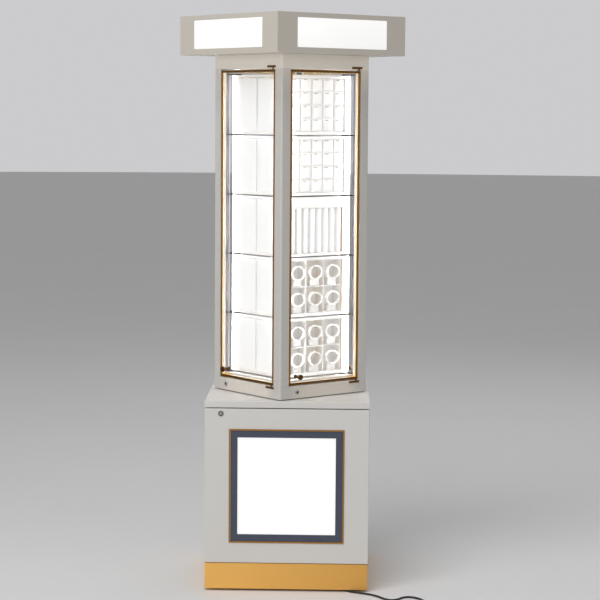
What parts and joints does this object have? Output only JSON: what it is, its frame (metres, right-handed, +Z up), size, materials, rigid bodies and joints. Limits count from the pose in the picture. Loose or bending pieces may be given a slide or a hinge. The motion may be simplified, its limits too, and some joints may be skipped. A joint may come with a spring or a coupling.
{
  "type": "revolving glass display cabinet",
  "caption": "Tall revolving display cabinet: a square glass tower with soft display blocks turns on a cupboard base with a lit front panel, under a lit square header.",
  "frame": {"origin": "on the floor, on the axis that the tower turns about, in the middle of the base", "axes": "+Z up, along the cabinet's height; the base door faces -Y and +X is to its right"},
  "size_m": [0.8594, 0.9166, 1.75],
  "materials": {
    "paint": "pale satin paint on board",
    "gold_laminate": "gold laminate on board",
    "dark_gold": "dark gold anodised",
    "gold": "polished gold",
    "steel": "satin steel",
    "black": "matt black",
    "slate": "dark blue-grey border",
    "lit": "lit opal white",
    "soft_white": "off-white soft covering",
    "beige": "beige board",
    "glass": "clear tempered glass",
    "aluminium": "black anodised"
  },
  "bodies": {
    "base": {"plinth": "gold_laminate", "bottom_board": "paint", "side_left": "paint", "side_right": "paint", "back_panel": "paint", "top_slab": "paint", "bearing_ring": "steel", "gearmotor": "steel", "motor_bracket": "steel", "power_supply": "steel", "cord_gland": "black", "power_cord": "black", "cord_coil": "black", "power_plug": "black"},
    "base_door": {"base_door": "paint", "screen_trim": "gold", "screen_border": "slate", "light_panel": "lit", "light_box": "steel", "base_lock_barrel": "steel"},
    "base_lock": {"base_lock_cam": "steel"},
    "pinion": {"drive_pinion": "steel"},
    "tower": {"turntable_hub": "steel", "slip_ring": "black", "ring_gear": "steel", "bottom_rail": "paint", "top_rail": "paint", "display_floor": "beige", "post_1": "paint", "post_2": "paint", "post_3": "paint", "post_4": "paint", "corner_rack_1": "aluminium", "corner_rack_2": "aluminium", "corner_rack_3": "aluminium", "corner_rack_4": "aluminium", "display_block_1": "soft_white", "display_block_2": "soft_white", "display_block_3": "soft_white", "display_block_4": "soft_white", "display_block_5": "soft_white", "header_shell": "paint", "header_diffuser": "lit", "header_lid": "paint"},
    "door_1": {"door_1_frame": "dark_gold", "door_1_glass": "glass", "door_1_knob": "gold"},
    "door_2": {"door_2_frame": "dark_gold", "door_2_glass": "glass", "door_2_knob": "gold"},
    "door_3": {"door_3_frame": "dark_gold", "door_3_glass": "glass", "door_3_knob": "gold"},
    "door_4": {"door_4_frame": "dark_gold", "door_4_glass": "glass", "door_4_knob": "gold"},
    "lock_1": {"rail_lock_1": "steel"},
    "lock_2": {"rail_lock_2": "steel"},
    "lock_3": {"rail_lock_3": "steel"},
    "lock_4": {"rail_lock_4": "steel"}
  },
  "joints": [
    {"name": "tower_spin", "type": "hinge", "parent": "base", "child": "tower", "pos_m": [0, 0, 0.588], "axis": [0, 0, 1], "continuous": true},
    {"name": "pinion_spin", "type": "hinge", "parent": "base", "child": "pinion", "pos_m": [0, 0.08, 0.541], "axis": [0, 0, 1], "continuous": true},
    {"name": "base_door_hinge", "type": "hinge", "parent": "base", "child": "base_door", "pos_m": [0.243, -0.238, 0.325], "axis": [0, 0, 1], "range_deg": [0, 105]},
    {"name": "base_lock_turn", "type": "hinge", "parent": "base_door", "child": "base_lock", "pos_m": [-0.2, -0.23, 0.547], "axis": [0, 1, 0], "range_deg": [0, 90]},
    {"name": "door_1_hinge", "type": "hinge", "parent": "tower", "child": "door_1", "pos_m": [0.20275, -0.04294, 1.10625], "axis": [0, 0, 1], "range_deg": [0, 105]},
    {"name": "door_2_hinge", "type": "hinge", "parent": "tower", "child": "door_2", "pos_m": [0.04294, 0.20275, 1.10625], "axis": [0, 0, 1], "range_deg": [0, 105]},
    {"name": "door_3_hinge", "type": "hinge", "parent": "tower", "child": "door_3", "pos_m": [-0.20275, 0.04294, 1.10625], "axis": [0, 0, 1], "range_deg": [0, 105]},
    {"name": "door_4_hinge", "type": "hinge", "parent": "tower", "child": "door_4", "pos_m": [-0.04294, -0.20275, 1.10625], "axis": [0, 0, 1], "range_deg": [0, 105]},
    {"name": "lock_1_turn", "type": "hinge", "parent": "tower", "child": "lock_1", "pos_m": [0.02914, -0.19854, 0.607], "axis": [0.6414, -0.7672, 0], "range_deg": [0, 90]},
    {"name": "lock_2_turn", "type": "hinge", "parent": "tower", "child": "lock_2", "pos_m": [0.19854, 0.02914, 0.607], "axis": [0.7672, 0.6414, 0], "range_deg": [0, 90]},
    {"name": "lock_3_turn", "type": "hinge", "parent": "tower", "child": "lock_3", "pos_m": [-0.02914, 0.19854, 0.607], "axis": [-0.6414, 0.7672, 0], "range_deg": [0, 90]},
    {"name": "lock_4_turn", "type": "hinge", "parent": "tower", "child": "lock_4", "pos_m": [-0.19854, -0.02914, 0.607], "axis": [-0.7672, -0.6414, 0], "range_deg": [0, 90]}
  ],
  "couplings": [
    {"joint": "pinion_spin", "follows": "tower_spin", "ratio": -3}
  ]
}
